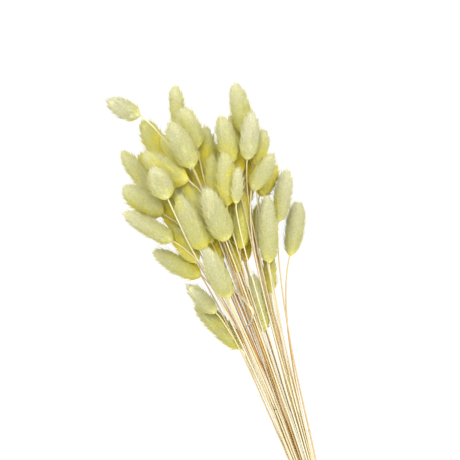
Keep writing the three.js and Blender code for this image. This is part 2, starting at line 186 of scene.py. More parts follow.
def closed_rings(rings: np.ndarray, start: np.ndarray, end: np.ndarray) -> Skin:
    """Joins rings of points to their neighbours, and closes both ends by fans to a pole.

    Args:
        rings: rows of points, of shape (rings, points in a ring, 3).
        start: the pole at the first ring.
        end: the pole at the last ring.

    Returns:
        One closed skin, with "along" from 0 to 1 over the rings.
    """
    count, sides = rings.shape[:2]
    points = np.concatenate([rings.reshape(-1, 3), start[None], end[None]])
    here = np.arange(sides)
    after = (here + 1) % sides
    low = (np.arange(count - 1) * sides)[:, None]
    walls = np.concatenate([
        np.stack([low + here, low + after, low + sides + after], axis=-1).reshape(-1, 3),
        np.stack([low + here, low + sides + after, low + sides + here], axis=-1).reshape(-1, 3),
    ])
    last = (count - 1) * sides
    pole = count * sides
    caps = np.concatenate([
        np.stack([after, here, np.full(sides, pole)], axis=-1),
        np.stack([last + here, last + after, np.full(sides, pole + 1)], axis=-1),
    ])
    along = np.append(np.repeat(np.linspace(0, 1, count), sides), [0, 1])
    return Skin(points, np.concatenate([walls, caps])).facing_out().with_value("along", along)


def spikes(
    paths: np.ndarray, widths: np.ndarray, flat: float = 1.0, outward: np.ndarray | None = None
) -> Skin:
    """Many slender three-sided spikes at once. Each has a ring of three points at every point of its path
    but the last, which is its tip. The first point of each ring is the spike's keel, on its underside.

    Args:
        paths: points along each spike, of shape (spikes, points, 3).
        widths: half widths, of shape (spikes, points - 1).
        flat: thickness as a share of the width.
        outward: a direction for each spike, away from what it grows on. The spike lies flat to it and takes
            the light as if it faced that way, as fur does, and its keel as if it faced ahead and down.

    Returns:
        All the spikes as one skin, with "along" from 0 at each root to 1 at each tip.
    """
    number, count = paths.shape[:2]
    ahead = unit(paths[:, -1] - paths[:, 0])
    side = unit(np.cross(ahead, NO_FIBRE if outward is None else outward))
    up = np.cross(side, ahead)
    angles = -math.pi / 2 + np.arange(3) / 3 * WHOLE_TURN
    across = (
        np.cos(angles)[None, :, None] * side[:, None] + flat * np.sin(angles)[None, :, None] * up[:, None]
    )
    rings = paths[:, :-1, None] + widths[:, :, None, None] * across[:, None]
    points = np.concatenate([rings.reshape(number, -1, 3), paths[:, -1:]], axis=1)
    here = np.arange(3)
    after = (here + 1) % 3
    faces = [np.array([[2, 1, 0]])]
    for ring in range(count - 2):
        low, high = 3 * ring, 3 * ring + 3
        faces.append(np.stack([low + here, low + after, high + after], axis=-1))
        faces.append(np.stack([low + here, high + after, high + here], axis=-1))
    top = 3 * (count - 2)
    faces.append(np.stack([top + here, top + after, np.full(3, 3 * (count - 1))], axis=-1))
    pattern = np.concatenate(faces)
    triangles = (pattern[None] + (np.arange(number) * points.shape[1])[:, None, None]).reshape(-1, 3)
    along = np.append(np.repeat(np.linspace(0, 1, count)[:-1], 3), 1)
    skin = Skin(points.reshape(-1, 3), triangles).facing_out().with_value("along", np.tile(along, number))
    if outward is not None:
        facing = np.repeat(unit(outward)[:, None], points.shape[1], axis=1)
        facing[:, :-1:3] = unit(ahead - up)[:, None]
        skin.facing = facing.reshape(-1, 3)
    return skin


def rounded(path: np.ndarray, times: int = 3) -> np.ndarray:
    """Cuts a path's corners: each time, every piece keeps its points at 1/4 and 3/4, and both ends stay.

    Args:
        path: points of any number of dimensions.
        times: how often the corners are cut.

    Returns:
        The smoother path.
    """
    for _ in range(times):
        cut = np.stack([0.75 * path[:-1] + 0.25 * path[1:], 0.25 * path[:-1] + 0.75 * path[1:]], axis=1)
        path = np.concatenate([path[:1], cut.reshape(-1, path.shape[1]), path[-1:]])
    return path


def off_the_table(points: np.ndarray, softness: float = 0.8 * MM) -> np.ndarray:
    """Presses low points up to stay above the table, by an exponential of their heights.

    Args:
        points: points at any height.
        softness: the height from which on points stay where they are.

    Returns:
        The points, with none at or under the table.
    """
    lifted = points.copy()
    low = points[:, 2] < softness
    lifted[low, 2] = softness * np.exp((points[low, 2] - softness) / softness)
    return lifted


def make_piece(name: str, skin: Skin, finish: bpy.types.Material) -> bpy.types.Object:
    """Makes a mesh object out of a skin, riding on the bunch.

    Args:
        name: the object's name.
        skin: its points, triangles and values.
        finish: its material.

    Returns:
        The new object.
    """
    mesh = bpy.data.meshes.new(name)
    mesh.vertices.add(len(skin.points))
    mesh.vertices.foreach_set("co", skin.points.astype(np.float32).ravel())
    mesh.loops.add(3 * len(skin.triangles))
    mesh.loops.foreach_set("vertex_index", skin.triangles.astype(np.int32).ravel())
    mesh.polygons.add(len(skin.triangles))
    mesh.polygons.foreach_set("loop_start", np.arange(0, 3 * len(skin.triangles), 3, dtype=np.int32))
    mesh.polygons.foreach_set("use_smooth", np.ones(len(skin.triangles), dtype=bool))
    for label, value in skin.values.items():
        mesh.attributes.new(label, "FLOAT", "POINT").data.foreach_set("value", value.astype(np.float32))
    mesh.materials.append(finish)
    mesh.update(calc_edges=True)
    if skin.facing is not None and skin.facing.any():
        mesh.normals_split_custom_set_from_vertices(skin.facing)
    piece = bpy.data.objects.new(name, mesh)
    bpy.context.scene.collection.objects.link(piece)
    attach(piece, "root")
    log.info("%s: %d triangles", name, len(skin.triangles))
    return piece


# Reading the frame


def node_mesh(node: str) -> tuple[np.ndarray, np.ndarray]:
    """The points of a CAD node, with those at one place merged to a hundredth of a millimetre.

    Args:
        node: the node's name.

    Returns:
        The merged points and the triangles that join them.
    """
    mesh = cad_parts[node].data
    points = np.empty(3 * len(mesh.vertices), dtype=np.float32)
    mesh.vertices.foreach_get("co", points)
    mesh.calc_loop_triangles()
    corners = np.empty(3 * len(mesh.loop_triangles), dtype=np.int32)
    mesh.loop_triangles.foreach_get("vertices", corners)
    places = points.reshape(-1, 3).astype(float)
    cells = np.round(places / MERGED_WITHIN)
    _, first, same = np.unique(cells, axis=0, return_index=True, return_inverse=True)
    return places[first], same.ravel()[corners].reshape(-1, 3)


def loose_parts(count: int, triangles: np.ndarray) -> np.ndarray:
    """Labels points so that those joined by triangles share one, by passing on the lowest until none changes.

    Args:
        count: how many points there are.
        triangles: the points that each triangle joins.

    Returns:
        A label for each point.
    """
    labels = np.arange(count)
    while True:
        before = labels.copy()
        lowest = labels[triangles].min(axis=1)
        for corner in range(3):
            np.minimum.at(labels, triangles[:, corner], lowest)
        if np.array_equal(labels, before):
            return labels


@dataclass(frozen=True)
class HeadForm:
    """The rounded form of a head: an axis from foot to tip with a sideways bow, and an outline round it."""

    CAD_SIDES: ClassVar[int] = 10
    CAD_STEPS: ClassVar[int] = 10
    CAD_TUFT: ClassVar[float] = 0.95
    CAD_HOLLOW: ClassVar[float] = 0.84
    FULLNESS_BELOW: ClassVar[float] = 3
    FULLNESS_ABOVE: ClassVar[float] = 2.6

    foot: np.ndarray
    tip: np.ndarray
    bow: float
    radius: float
    belly: float

    @property
    def length(self) -> float:
        """The distance from foot to tip."""
        return float(np.linalg.norm(self.tip - self.foot))

    def centre(self, t: np.ndarray) -> np.ndarray:
        """Points of the axis: a straight line from foot to tip, plus a level bow of 4 t (1 - t).

        Args:
            t: shares of the axis, from 0 at the foot to 1 at the tip.

        Returns:
            A point for each.
        """
        along = self.tip - self.foot
        aside = unit(np.array([-along[1], along[0], 0.0]))
        within = np.clip(t, 0, 1)
        return self.foot + t[..., None] * along + (self.bow * 4 * within * (1 - within))[..., None] * aside

    def reach(self, t: np.ndarray) -> np.ndarray:
        """The radius at t: full and rounded under the belly, longer and rounded above it.

        Args:
            t: shares of the axis.

        Returns:
            The radius at each, which is zero at both ends.
        """
        t = np.clip(t, 0, 1)
        below = np.clip((self.belly - t) / self.belly, 0, 1)
        above = np.clip((t - self.belly) / (1 - self.belly), 0, 1)
        drawn_in = np.where(t < self.belly, below**self.FULLNESS_BELOW, above**self.FULLNESS_ABOVE)
        return self.radius * np.sqrt(1 - drawn_in)

    def place(self, t: np.ndarray, angle: np.ndarray, out: np.ndarray) -> np.ndarray:
        """Points at the share t of the axis, turned by an angle round it and that far out from it.

        Args:
            t: shares of the axis.
            angle: the angle round it, from the right and upwards.
            out: the distance from it.

        Returns:
            A point for each.
        """
        ahead = unit(self.centre(t + 0.01) - self.centre(t - 0.01))
        side, up = sides_of(ahead)
        across = np.cos(angle)[..., None] * side + np.sin(angle)[..., None] * up
        return self.centre(t) + out[..., None] * across

    @classmethod
    def measured(cls, node: str) -> "HeadForm":
        """Fits the form to a CAD head, whose points are tufts and hollows in turn over its rings.

        Args:
            node: the head's name.

        Returns:
            The fitted form.
        """
        points, _ = node_mesh(node)
        axis = np.linalg.svd(points - points.mean(axis=0), full_matrices=False)[2][0]
        axis = axis if axis[1] > 0 else -axis
        order = np.argsort(points @ axis)
        foot, tip = points[order[: cls.CAD_SIDES]].mean(axis=0), points[order[-1]]
        along = tip - foot
        t = (points - foot) @ along / (along @ along)
        aside = unit(np.array([-along[1], along[0], 0.0]))
        arch = 4 * t * (1 - t)
        offset = points - foot - t[:, None] * along
        bow = float((offset @ aside) @ arch / (arch @ arch))
        out = np.linalg.norm(offset - (bow * arch)[:, None] * aside, axis=1)
        within_ring = cls.CAD_STEPS * t % 1
        is_tuft = (within_ring > 0.3) & (within_ring < 0.9)
        used = (t > 0.07) & (t < 0.98)
        best = (np.inf, 0.0, 0.0)
        for belly in np.linspace(0.25, 0.65, 41):
            shape = cls(foot, tip, bow, 1.0, float(belly)).reach(t)[used]
            shape = shape * np.where(is_tuft, cls.CAD_TUFT, cls.CAD_HOLLOW)[used]
            radius = float(out[used] @ shape / (shape @ shape))
            error = float(((out[used] - radius * shape) ** 2).sum())
            best = min(best, (error, radius, float(belly)))
        return cls(foot, tip, bow, best[1], best[2])


# Finishes


class Painter:
    """A new material with a Principled shader, and short ways to add nodes and join them."""

    def __init__(self, name: str) -> None:
        """Starts the material.

        Args:
            name: its name.
        """
        self.material = bpy.data.materials.new(name)
        self.material.use_nodes = True
        self.tree = self.material.node_tree
        self.shader = self.tree.nodes["Principled BSDF"]

    def node(self, kind: str, **settings: object) -> bpy.types.Node:
        """Adds a node and sets its properties by name.

        Args:
            kind: the node's type.
            settings: its properties.

        Returns:
            The new node.
        """
        made = self.tree.nodes.new(kind)
        for label, value in settings.items():
            setattr(made, label, value)
        return made

    def join(self, source: bpy.types.NodeSocket, target: bpy.types.NodeSocket) -> None:
        """Links one socket to another."""
        self.tree.links.new(source, target)

    def set(self, **sockets: object) -> None:
        """Sets the shader's own sockets. Underscores in a name stand for spaces."""
        for label, value in sockets.items():
            self.shader.inputs[label.replace("_", " ")].default_value = value

    def value(self, name: str) -> bpy.types.NodeSocket:
        """Reads a named value of the mesh."""
        return self.node("ShaderNodeAttribute", attribute_name=name).outputs["Fac"]

    def noise(
        self, scale: tuple[float, float, float], detail: float, size: float = 1.0
    ) -> bpy.types.NodeSocket:
        """Noise from 0 to 1 on Object coordinates, stretched by a scale along each axis.

        Args:
            scale: the stretch along each axis.
            detail: how many finer layers it has.
            size: its scale as a whole.

        Returns:
            The noise.
        """
        coordinates = self.node("ShaderNodeTexCoord").outputs["Object"]
        mapping = self.node("ShaderNodeMapping")
        mapping.inputs["Scale"].default_value = scale
        texture = self.node("ShaderNodeTexNoise")
        texture.inputs["Scale"].default_value = size
        texture.inputs["Detail"].default_value = detail
        self.join(coordinates, mapping.inputs["Vector"])
        self.join(mapping.outputs["Vector"], texture.inputs["Vector"])
        return texture.outputs["Fac"]

    def ramp(self, source: bpy.types.NodeSocket, stops: list[tuple[float, tuple]]) -> bpy.types.NodeSocket:
        """Colours by a value, blended from stop to stop.

        Args:
            source: the value.
            stops: places from 0 to 1, each with its colour.

        Returns:
            The colour.
        """
        ramp = self.node("ShaderNodeValToRGB")
        elements = ramp.color_ramp.elements
        while len(elements) < len(stops):
            elements.new(0.5)
        for element, (place, colour) in zip(elements, stops):
            element.position = place
            element.color = (*colour, 1.0)
        self.join(source, ramp.inputs["Fac"])
        return ramp.outputs["Color"]

    def scaled(self, source: bpy.types.NodeSocket, by: float, plus: float = 0.0) -> bpy.types.NodeSocket:
        """A value times one number, plus another.

        Args:
            source: the value.
            by: what it is multiplied by.
            plus: what is added.

        Returns:
            The result.
        """
        made = self.node("ShaderNodeMath", operation="MULTIPLY_ADD")
        self.join(source, made.inputs[0])
        made.inputs[1].default_value = by
        made.inputs[2].default_value = plus
        return made.outputs["Value"]

    def added(self, first: bpy.types.NodeSocket, *others: bpy.types.NodeSocket) -> bpy.types.NodeSocket:
        """The sum of two or more values.

        Args:
            first: the first value.
            others: the rest.

        Returns:
            The sum.
        """
        for other in others:
            made = self.node("ShaderNodeMath", operation="ADD")
            self.join(first, made.inputs[0])
            self.join(other, made.inputs[1])
            first = made.outputs["Value"]
        return first

    def mix(self, share: object, a: object, b: object, blend: str = "MIX") -> bpy.types.NodeSocket:
        """A colour between two others.

        Args:
            share: how much of the second, as a value or a number.
            a: the first, as a socket or a colour.
            b: the second.
            blend: how they are mixed.

        Returns:
            The mixed colour.
        """
        made = self.node("ShaderNodeMix", data_type="RGBA", blend_type=blend)
        factor, first, second = made.inputs[0], made.inputs[6], made.inputs[7]
        for socket, source in ((factor, share), (first, a), (second, b)):
            if isinstance(source, bpy.types.NodeSocket):
                self.join(source, socket)
            elif socket is factor:
                socket.default_value = source
            else:
                socket.default_value = (*source, 1.0)
        return made.outputs[2]

    def bump(self, height: bpy.types.NodeSocket, distance: float, strength: float = 1.0) -> None:
        """Raises the surface by a height.

        Args:
            height: the height, from 0 to 1.
            distance: what a height of 1 stands for.
            strength: how much of it shows.
        """
        made = self.node("ShaderNodeBump")
        made.inputs["Strength"].default_value = strength
        made.inputs["Distance"].default_value = distance
        self.join(height, made.inputs["Height"])
        self.join(made.outputs["Normal"], self.shader.inputs["Normal"])


@dataclass(frozen=True)
class PlumeFinish:
    """Dried silk, from mustard to pale green and cream at the ends of the upper hairs. The mustard and olive
    end is painted shade, put on silk deep in the bunch and on the heads' flanks.
    """

    # Mustard and olive are painted shade colours: saturated, and bright enough to lift the shade that falls
    # deep in the bunch.
    mustard: tuple = (0.77, 0.59, 0.015)
    olive: tuple = (0.71, 0.62, 0.075)
    lime: tuple = (0.63, 0.587, 0.127)
    pale: tuple = (0.54, 0.525, 0.215)
    cream: tuple = (0.625, 0.61, 0.46)
    root: float = 0.09
    by_length: float = 0.2
    by_tone: float = 0.5
    by_speckle: float = 0.12
    darkest: float = 0.7
    contrast: float = 0.6

    def make(self) -> bpy.types.Material:
        """Builds the material: a hair's place between the colours rises along it and with its own tone, which
        also carries the painted shade.

        Returns:
            The material.
        """
        paint = Painter("dried_silk")
        speckle = paint.noise((1, 1, 1), 2.0, 600)
        spot = paint.added(
            paint.scaled(paint.value("along"), self.by_length, self.root),
            paint.scaled(paint.value("tone"), self.by_tone),
            paint.scaled(speckle, self.by_speckle, -0.5 * self.by_speckle),
        )
        colours = (self.mustard, self.olive, self.lime, self.pale, self.cream)
        stops = list(zip((0.1, 0.3, 0.45, 0.6, 0.85), colours))
        shade = paint.scaled(speckle, self.contrast, self.darkest)
        colour = paint.mix(1.0, paint.ramp(spot, stops), shade, "MULTIPLY")
        paint.join(colour, paint.shader.inputs["Base Color"])
        paint.set(Roughness=0.85, Sheen_Weight=0.15, Sheen_Roughness=0.5, Sheen_Tint=(1.0, 0.99, 0.92, 1.0))
        paint.set(Specular_IOR_Level=0.1)
        return paint.material


@dataclass(frozen=True)
class StrawFinish:
    """Dried culms with lengthwise streaks, from cream to tan, darker at their joints, greener at the top."""

    tan: tuple = (0.44, 0.21, 0.035)
    straw: tuple = (0.51, 0.36, 0.145)
    cream: tuple = (0.585, 0.52, 0.34)
    green: tuple = (0.62, 0.58, 0.22)
    joint: tuple = (0.28, 0.15, 0.04)
    by_streak: float = 0.7
    greenest: float = 0.6

    def make(self) -> bpy.types.Material:
        """Builds the material: tone and streaks choose the colour, and green and joints go over it.

        Returns:
            The material.
        """
        paint = Painter("dried_straw")
        streaks = paint.noise((900, 30, 900), 3.0)
        spot = paint.added(paint.value("tone"), paint.scaled(streaks, self.by_streak, -0.5 * self.by_streak))
        colour = paint.ramp(spot, [(0.0, self.tan), (0.4, self.straw), (0.8, self.cream)])
        colour = paint.mix(paint.scaled(paint.value("green"), self.greenest), colour, self.green)
        colour = paint.mix(paint.value("joint"), colour, self.joint)
        paint.join(colour, paint.shader.inputs["Base Color"])
        paint.bump(streaks, 0.15 * MM, 0.5)
        paint.set(Roughness=0.5, Specular_IOR_Level=0.4, Coat_Weight=0.05, Coat_Roughness=0.4)
        return paint.material


@dataclass(frozen=True)
class TwineFinish:
    """Jute, with its fibres lighter and darker in turn."""

    dark: tuple = (0.25, 0.14, 0.055)
    brown: tuple = (0.47, 0.31, 0.14)
    light: tuple = (0.68, 0.50, 0.27)
    by_tone: float = 0.4

    def make(self) -> bpy.types.Material:
        """Builds the material: fibres and the ply's own tone choose the colour.

        Returns:
            The material.
        """
        paint = Painter("jute")
        fibres = paint.noise((1, 1, 1), 5.0, 1600)
        spot = paint.added(fibres, paint.scaled(paint.value("tone"), self.by_tone, -0.5 * self.by_tone))
        colour = paint.ramp(spot, [(0.25, self.dark), (0.5, self.brown), (0.75, self.light)])
        paint.join(colour, paint.shader.inputs["Base Color"])
        paint.bump(fibres, 0.2 * MM, 0.8)
        paint.set(Roughness=0.9, Sheen_Weight=0.2, Sheen_Roughness=0.5, Specular_IOR_Level=0.2)
        return paint.material


# Stems


@dataclass(frozen=True)
class TiePlan:
    """The regular places of the stems under the tie, as in the CAD source."""

    counts: tuple[int, ...] = (7, 9, 10, 10, 9, 7)
    slot_pitch: float = 1.42 * MM
    row_pitch: float = 2.15 * MM
    height: float = 8.6 * MM
    clamped: float = 5.7 * MM
    parted: tuple[float, ...] = tuple(distance * MM for distance in (54, 66, 78, 95, 120, 150, 190))
    cut_splay: float = 1.6
    cut_rise: float = 1.2
    low_radius: float = 0.9 * MM
    high_radius: float = 0.62 * MM

    def slots(self, row: int) -> np.ndarray:
        """The places of a row's stems under the tie.

        Args:
            row: the row, from 0 at the table.

        Returns:
            The level and upright place of each, of shape (stems, 2).
        """
        count = self.counts[row]
        across = (np.arange(count) - (count - 1) / 2) * self.slot_pitch
        upright = np.full(count, self.height + (row - (len(self.counts) - 1) / 2) * self.row_pitch)
        return np.stack([across, upright], axis=1)


@dataclass
class Straw:
    """One stem as a smooth line through the rings of its CAD solid, with joints where leaves once grew."""

    knots: np.ndarray
    tone: float
    joints: np.ndarray
    plan: TiePlan
    swelling: float = 0.28
    swelling_reach: float = 1.3 * MM
    joint_mark: float = 0.5 * MM
    green_reach: float = 70 * MM
    joint_rings: tuple[float, ...] = tuple(distance * MM for distance in (-2.6, -1.3, -0.6, 0, 0.6, 1.3, 2.6))
    sheath_thickness: float = 0.2 * MM

    def __post_init__(self) -> None:
        """Measures the line, whose parameter is the length along it."""
        self.lengths = np.append(0, np.cumsum(np.linalg.norm(np.diff(self.knots, axis=0), axis=1)))
        self.slopes = self.even_slopes()

    def even_slopes(self) -> np.ndarray:
        """Slopes at the knots for a cubic that never overshoots: the harmonic mean of both sides' slopes.

        Returns:
            A slope for each knot.
        """
        steps = np.diff(self.lengths)[:, None]
        chords = np.diff(self.knots, axis=0) / steps
        before, after = chords[:-1], chords[1:]
        product = before * after
        total = np.where(np.abs(before + after) > 1e-9, before + after, 1.0)
        inner = np.where(product > 0, 2 * product / total, 0.0)
        return np.concatenate([chords[:1], inner, chords[-1:]])

    @property
    def length(self) -> float:
        """The whole length."""
        return float(self.lengths[-1])

    def at(self, s: np.ndarray) -> np.ndarray:
        """Points at the lengths s, on the cubic through the knots with those slopes.

        Args:
            s: lengths along the stem from its cut end.

        Returns:
            A point for each.
        """
        s = np.clip(s, 0, self.length)
        k = np.clip(np.searchsorted(self.lengths, s, side="right") - 1, 0, len(self.knots) - 2)
        step = (self.lengths[k + 1] - self.lengths[k])[:, None]
        u = (s - self.lengths[k])[:, None] / step
        return (
            (2 * u**3 - 3 * u**2 + 1) * self.knots[k]
            + (u**3 - 2 * u**2 + u) * step * self.slopes[k]
            + (3 * u**2 - 2 * u**3) * self.knots[k + 1]
            + (u**3 - u**2) * step * self.slopes[k + 1]
        )

    def radius(self, s: np.ndarray) -> np.ndarray:
        """A steady taper from the cut end to the head, and a low swelling at each joint."""
        taper = self.plan.low_radius + (self.plan.high_radius - self.plan.low_radius) * s / self.length
        return taper * (1 + self.swelling * self.near_joint(s, self.swelling_reach))

    def near_joint(self, s: np.ndarray, width: float) -> np.ndarray:
        """1 at a joint, falling off with the distance by a bell curve of that width."""
        return np.exp(-(((s[:, None] - self.joints[None]) / width) ** 2)).max(axis=1)

    def skin(self, spacing: float = 7 * MM, sides: int = 7) -> Skin:
        """The straw's round skin, with more rings at its joints.

        Args:
            spacing: the usual distance between rings.
            sides: points in a ring.

        Returns:
            The skin, with its tone, joints and green.
        """
        even = np.linspace(0, self.length, int(self.length / spacing))
        extra = (self.joints[:, None] + np.array(self.joint_rings)).ravel()
        s = np.unique(np.clip(np.concatenate([even, extra]), 0, self.length))
        skin = tube(self.at(s), self.radius(s), sides)
        per_point = np.append(np.repeat(s, sides), [0, self.length])
        skin.with_value("joint", 0.5 * self.near_joint(per_point, self.joint_mark))
        skin.with_value("green", np.clip(1 - (self.length - per_point) / self.green_reach, 0, 1))
        return skin.with_value("tone", self.tone)

    def sheath(self, start: float, long: float) -> Skin:
        """The base of a leaf, wrapped round the stem: a slightly wider tube, drawn in at its ends.

        Args:
            start: where it begins, as a length along the stem.
            long: how long it is.

        Returns:
            The sheath, a little paler than the stem.
        """
        share = np.linspace(0, 1, 9)
        s = start + long * share
        drawn_in = np.minimum(1, 6 * np.minimum(share + 0.04, 1.02 - share))
        thick = self.sheath_thickness * drawn_in + 0.02 * MM
        skin = tube(self.at(s), self.radius(np.clip(s, 0, self.length)) + thick, 8, 0.3)
        return skin.dressed(min(1.0, self.tone + 0.25))


@dataclass
class StrawRow:
    """The stems that lie side by side in one row under the tie."""

    row: int
    plan: TiePlan
    seed: int
    ring_gap: float = 1.2 * MM
    cut_ends_below: float = -50 * MM
    cut_end_reach: float = 1.12 * MM
    into_head: float = 3.5 * MM
    sheathed: float = 0.35
    sheath_lengths: tuple[float, float] = (22, 48)

    def __post_init__(self) -> None:
        """Starts the row's seeded draws and reads its stems."""
        self.random = np.random.default_rng(self.seed)
        self.node = f"stems_row_{self.row + 1}"
        lines = self.measured()
        places = np.linspace(-1, 1, len(lines))
        self.straws = [self.straw(knots, aside) for knots, aside in zip(lines, places)]

    def apart(self, points: np.ndarray, triangles: np.ndarray) -> list[np.ndarray]:
        """The points of each stem above the lowest of the planned distances from which it stands alone.

        Args:
            points: the merged points of the row.
            triangles: the triangles that join them.

        Returns:
            The points of each stem.
        """
        inside = [(points[:, 1] > distance)[triangles].all(axis=1) for distance in self.plan.parted]
        labels = [loose_parts(len(points), triangles[within]) for within in inside]
        stems = np.unique(labels[-1][triangles[inside[-1]]])
        found = []
        for stem in stems:
            alone = next(label for label in labels if np.count_nonzero(label[stems] == label[stem]) == 1)
            found.append(points[alone == alone[stem]])
        return found

    def measured(self) -> list[np.ndarray]:
        """The middle line of each stem: its cut end, the straight stretch under the tie, and the middle of
        each ring of points further up, where the stems of a row stand apart.

        Returns:
            A row of points for each stem, from the cut end to inside its head.
        """
        points, triangles = node_mesh(self.node)
        slots = self.plan.slots(self.row)
        uppers = []
        for rings in self.apart(points, triangles):
            rings = rings[np.argsort(rings[:, 1])]
            groups = np.split(rings, np.flatnonzero(np.diff(rings[:, 1]) > self.ring_gap) + 1)
            uppers.append(np.array([group.mean(axis=0) for group in groups]))
        uppers.sort(key=lambda line: line[-1, 0] / line[-1, 1])
        if len(uppers) != len(slots):
            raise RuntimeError(f"{self.node} has {len(uppers)} stems, not {len(slots)}")
        cut = points[points[:, 1] < self.cut_ends_below]
        lines = []
        for (across, upright), upper in zip(slots, uppers):
            cut_x = across * self.plan.cut_splay
            near = np.abs(cut[:, 0] - cut_x) < self.cut_end_reach
            end = np.array([
                cut_x,
                cut[near, 1].mean(),
                self.plan.height + (upright - self.plan.height) * self.plan.cut_rise,
            ])
            straight = [
                np.array([across, -self.plan.clamped, upright]),
                np.array([across, self.plan.clamped, upright]),
            ]
            inside = upper[-1] + self.into_head * unit(upper[-1] - upper[-2])
            lines.append(np.array([end, *straight, *upper, inside]))
        return lines

    def straw(self, knots: np.ndarray, aside: float) -> Straw:
        """One straw, with two or three joints on its lower half, paler towards the outside of the row, and
        tanner the lower its row lies, a painted shade.

        Args:
            knots: the points of its middle line.
            aside: its place in the row, from -1 on the left to 1 on the right.

        Returns:
            The straw.
        """
        draw = self.random
        length = np.linalg.norm(np.diff(knots, axis=0), axis=1).sum()
        joints = np.sort(draw.uniform([0.03, 0.27, 0.45], [0.2, 0.42, 0.62])[: draw.integers(2, 4)]) * length
        # Painted shade: the lower the row, the tanner its stems.
        tone = draw.normal(0.1 + 0.1 * self.row + 0.45 * aside**2, 0.25)
        return Straw(knots, float(np.clip(tone, 0.0, 1.0)), joints, self.plan)

    def build(self, finish: bpy.types.Material) -> bpy.types.Object:
        """Makes the row and puts it in the place of its CAD node.

        Args:
            finish: the straw's material.

        Returns:
            The row.
        """
        skins = []
        for straw in self.straws:
            skins.append(straw.skin())
            if self.random.uniform() < self.sheathed:
                skins.append(straw.sheath(straw.joints[-1], self.random.uniform(*self.sheath_lengths) * MM))
        piece = make_piece(f"straws_row_{self.row + 1}", Skin.together(skins), finish)
        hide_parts(self.node)
        return piece


@dataclass
class DeadLeaf:
    """A withered blade that lies on the stems, folded along its middle, and hooks over at its point."""

    straws: list[Straw]
    line: tuple = (
        (-20, 262), (-14.6, 251), (-10, 241), (-5.6, 233),
        (-3.6, 226), (-5.6, 219.5), (-10, 215.5), (-15, 214),
    )
    half_width: float = 1.25 * MM
    fold: float = 0.6 * MM
    thickness: float = 0.25 * MM
    lift: float = 2.6 * MM
    arch: float = 1.5 * MM
    twist: float = 0.9

    def resting(self, plan: np.ndarray) -> np.ndarray:
        """The height of the stems under points in plan: the highest within a short reach, then evened out.

        Args:
            plan: points in plan.

        Returns:
            A height for each.
        """
        stems = np.concatenate([straw.at(np.arange(0, straw.length, 1.5 * MM)) for straw in self.straws])
        apart = np.linalg.norm(plan[:, None] - stems[None, :, :2], axis=2)
        highest = np.where(apart < 2 * MM, stems[:, 2], 0.0).max(axis=1)
        return np.convolve(np.pad(highest, 5, mode="edge"), np.full(11, 1 / 11), mode="valid")

    def skin(self) -> Skin:
        """The blade: a thin folded section, drawn in at both ends, which turns on edge towards the hook.

        Returns:
            The blade's skin.
        """
        plan = rounded(np.array(self.line) * MM)
        share = np.linspace(0, 1, len(plan))
        height = self.resting(plan) + self.lift + self.arch * np.sin(math.pi * share**2)
        path = np.column_stack([plan, height])
        side, up = sides_of(unit(np.gradient(path, axis=0)))
        turn = (self.twist * share**2)[:, None]
        across = np.cos(turn) * side + np.sin(turn) * up
        over = np.cos(turn) * up - np.sin(turn) * side
        half = self.half_width * np.minimum(1, np.minimum(6 * share + 0.15, 2.6 * (1 - share) + 0.1))
        section = [(1, self.fold), (0, 0), (-1, self.fold)]
        section += [(out, rise - self.thickness) for out, rise in reversed(section)]
        rings = [path + out * half[:, None] * across + rise * over for out, rise in section]
        skin = closed_rings(np.stack(rings, axis=1), path[0], path[-1])
        return skin.dressed(1.0)

    def build(self, finish: bpy.types.Material) -> bpy.types.Object:
        """Makes the leaf."""
        return make_piece("dead_leaf", self.skin(), finish)


# Heads


